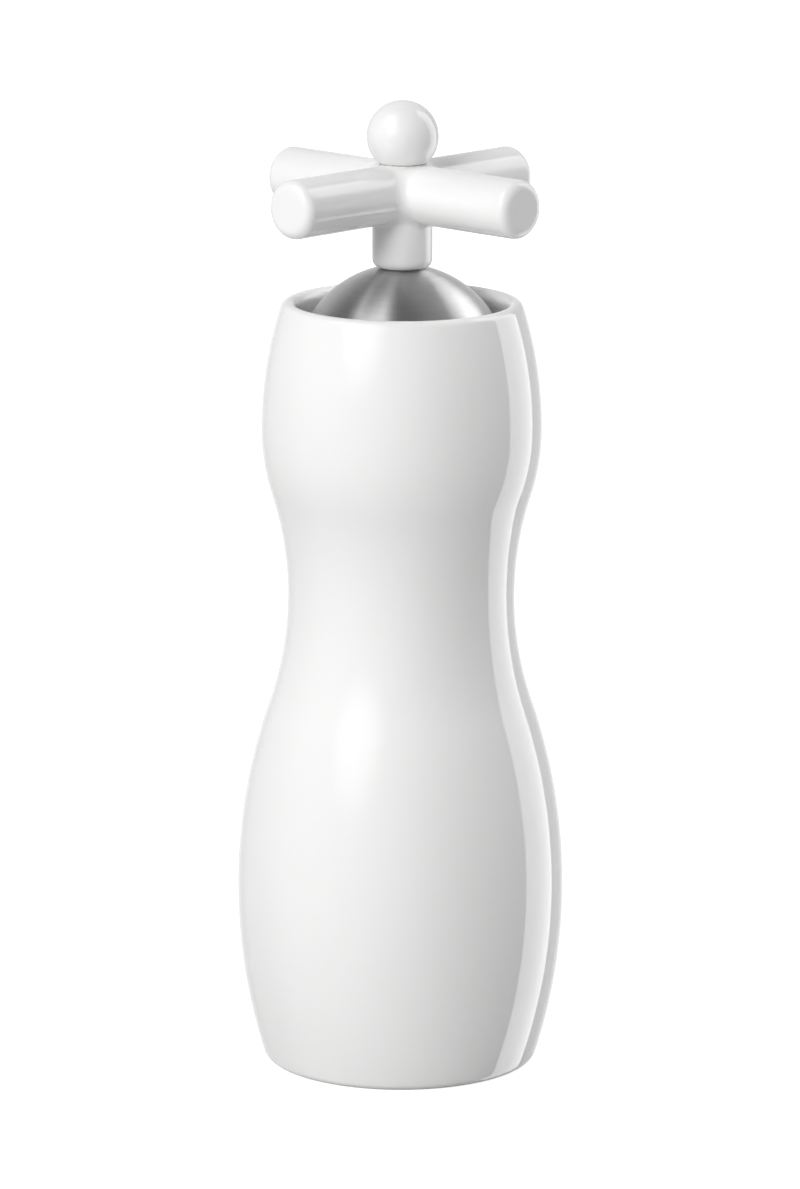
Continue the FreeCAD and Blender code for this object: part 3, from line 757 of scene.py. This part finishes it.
# white to the camera, and to mirrors straight behind the mill;
# otherwise two soft lights on the left and a pale backdrop
def studioWorld():
    world = bpy.data.worlds.new("studio")
    world.use_nodes = True
    bpy.context.scene.world = world
    n = Nodes(world.node_tree)
    way = n.node("ShaderNodeTexCoord").out("Generated")

    # full within one angle of a direction, nothing outside another
    def lobe(turn, rise, outer, inner):
        facing = n.node("ShaderNodeVectorMath", {"operation": "DOT_PRODUCT"},
                        {0: way, 1: studioWay(turn, rise)})
        return n.ramp(facing.out("Value"), math.cos(math.radians(outer)), math.cos(math.radians(inner)))

    top = lobe(studio["topTurn"], studio["topRise"], studio["lobeFrom"], studio["lobeTo"])
    front = lobe(studio["frontTurn"], studio["frontRise"], studio["lobeFrom"], studio["lobeTo"])
    back = lobe(studio["behind"], 0.0, studio["backFrom"], studio["backTo"])
    light = studio["ambient"] + studio["top"] * top + studio["front"] * front + studio["back"] * back
    lit = n.node("ShaderNodeBackground", {}, {"Color": grey(1.0), "Strength": light})
    white = n.node("ShaderNodeBackground", {}, {"Color": grey(1.0), "Strength": 1.0})
    rays = n.node("ShaderNodeLightPath")
    mirrored = rays.out("Is Glossy Ray") + rays.out("Is Transmission Ray")
    # what the camera sees past the mill
    behind = lobe(studio["behind"], -studio["rise"], studio["whiteFrom"], studio["whiteTo"])
    seen = rays.out("Is Camera Ray") + mirrored * behind
    shown = n.node("ShaderNodeMixShader", {}, {0: seen, 1: lit, 2: white})
    n.node("ShaderNodeOutputWorld", {}, {"Surface": shown})


def studioLamp(name, width, height, watts, way, distance, lift):
    data = bpy.data.lights.new(name, "AREA")
    data.shape = "RECTANGLE"
    data.size = width
    data.size_y = height
    data.energy = watts
    lamp = newObject(name, data)
    turned = way.to_track_quat("Z", "Y").to_matrix().to_4x4()
    lamp.matrix_world = Matrix.Translation(way * distance + Vector((0, 0, lift))) @ turned
    return lamp


def studioLamps():
    width, height = studio["stripWidth"], studio["stripHeight"]
    watts = studio["strip"] * math.pi * width * height            # radiance times pi times area
    studioLamp("strip_light", width, height, watts, studioWay(studio["stripTurn"], 0.0),
               studio["stripDistance"], studio["stripLift"])
    key = studioLamp("key_light", studio["keySize"], studio["keySize"], studio["key"],
                     studioWay(studio["keyTurn"], studio["keyRise"]), studio["keyDistance"], studio["aim"])
    key.visible_glossy = False                                    # no bright square on the glaze


def studioFloor():
    material, n = newFinish("pale_floor")
    mottle = n.noise(n.place(), 3.0)
    pale = n.node("ShaderNodeBsdfDiffuse", {}, {
        "Color": n.tint(mottle, grey(studio["floorShade"] * 0.98), grey(studio["floorShade"] * 1.02))})
    glow = n.node("ShaderNodeEmission", {}, {"Color": grey(1.0), "Strength": studio["floorGlow"]})
    topped = n.node("ShaderNodeAddShader", {}, {0: pale, 1: glow})
    rays = n.node("ShaderNodeLightPath")
    seen = rays.out("Is Camera Ray") + rays.out("Is Glossy Ray") + rays.out("Is Transmission Ray")
    shown = n.node("ShaderNodeMixShader", {}, {0: seen, 1: pale, 2: topped})
    n.node("ShaderNodeOutputMaterial", {}, {"Surface": shown})
    half = studio["floorSize"] / 2
    mesh = bpy.data.meshes.new("floor")
    corners = [(-half, -half, 0), (half, -half, 0), (half, half, 0), (-half, half, 0)]
    mesh.from_pydata(corners, [], [(0, 1, 2, 3)])
    mesh.materials.append(material)
    floor = newObject("floor", mesh)
    # the strip's reflection runs on down the porcelain, as above a clear table
    floor.visible_glossy = False


studioCamera()
studioWorld()
studioLamps()
studioFloor()
bpy.context.scene.view_settings.view_transform = "Standard"
print("studio set")
